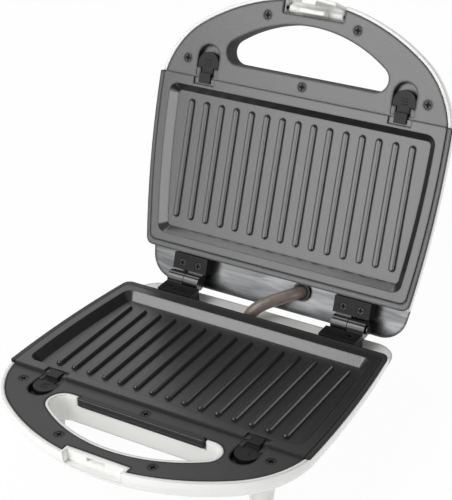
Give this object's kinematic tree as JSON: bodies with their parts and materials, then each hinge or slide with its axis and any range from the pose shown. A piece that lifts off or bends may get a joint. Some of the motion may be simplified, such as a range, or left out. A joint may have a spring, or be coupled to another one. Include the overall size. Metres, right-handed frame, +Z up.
{
  "type": "sandwich maker",
  "caption": "Open electric sandwich maker with ribbed grill plates in two hinged halves, hand openings, a latch clip, sliding plate releases and a sleeved lead between the halves.",
  "frame": {"origin": "on the table under the middle of the machine as it stands open", "axes": "+X along the hinge to the user's right, +Y from the front edge to the hinge and rear, +Z up"},
  "size_m": [0.229, 0.2998, 0.2541],
  "materials": {
    "white_shell": "glossy moulded plastic",
    "dark_frame": "satin heat-resistant plastic",
    "grill_plate": "non-stick coating on cast aluminium",
    "lever_plastic": "satin plastic",
    "hinge_metal": "black painted steel",
    "pin_steel": "plain steel",
    "screw_steel": "plated steel",
    "clip_white": "glossy moulded plastic",
    "heater_steel": "heat-stained sheath",
    "reflector_metal": "bright sheet",
    "inner_plastic": "heat-resistant moulding",
    "foot_rubber": "soft rubber",
    "black_rubber": "soft rubber",
    "lead_sleeve": "woven glass-fibre sleeve",
    "lamp_red": "tinted lens",
    "lamp_green": "tinted lens"
  },
  "bodies": {
    "base": {"base_shell": "white_shell", "base_frame": "dark_frame", "base_plate": "grill_plate", "base_heater": "heater_steel", "base_reflector": "reflector_metal", "base_thermostat": "inner_plastic", "base_terminal_block": "inner_plastic", "base_hinge_left": "hinge_metal", "base_hinge_right": "hinge_metal", "hinge_pin_left": "pin_steel", "hinge_pin_right": "pin_steel", "base_hinge_screws": "screw_steel", "base_deck_screws": "screw_steel", "base_feet": "foot_rubber", "cord_gland": "black_rubber", "base_lead_bush": "black_rubber", "bridge_lead": "lead_sleeve"},
    "lid": {"lid_shell": "white_shell", "lid_frame": "dark_frame", "lid_plate": "grill_plate", "lid_heater": "heater_steel", "lid_reflector": "reflector_metal", "lid_thermal_cutout": "inner_plastic", "lid_hinge_left": "hinge_metal", "lid_hinge_right": "hinge_metal", "lid_hinge_screws": "screw_steel", "lid_deck_screws": "screw_steel", "lamp_red": "lamp_red", "lamp_green": "lamp_green", "lid_lead_bush": "black_rubber", "clip_pin": "pin_steel"},
    "latch": {"latch_clip": "clip_white"},
    "base_release_left": {"base_lever_left": "lever_plastic"},
    "base_release_right": {"base_lever_right": "lever_plastic"},
    "lid_release_left": {"lid_lever_left": "lever_plastic"},
    "lid_release_right": {"lid_lever_right": "lever_plastic"}
  },
  "joints": [
    {"name": "lid_hinge", "type": "hinge", "parent": "base", "child": "lid", "pos_m": [0, 0.06475, 0.04675], "axis": [1, 0, 0], "range_deg": [0, 108.8], "deforming": ["bridge_lead"]},
    {"name": "latch_pivot", "type": "hinge", "parent": "lid", "child": "latch", "pos_m": [0, 0.14047, 0.23892], "axis": [-1, 0, 0], "range_deg": [-10, 15]},
    {"name": "base_release_left_slide", "type": "slide", "parent": "base", "child": "base_release_left", "axis": [0, -1, 0], "range_m": [0, 0.005]},
    {"name": "base_release_right_slide", "type": "slide", "parent": "base", "child": "base_release_right", "axis": [0, -1, 0], "range_m": [0, 0.005]},
    {"name": "lid_release_left_slide", "type": "slide", "parent": "lid", "child": "lid_release_left", "axis": [0, 0.3223, 0.9466], "range_m": [0, 0.005]},
    {"name": "lid_release_right_slide", "type": "slide", "parent": "lid", "child": "lid_release_right", "axis": [0, 0.3223, 0.9466], "range_m": [0, 0.005]}
  ]
}
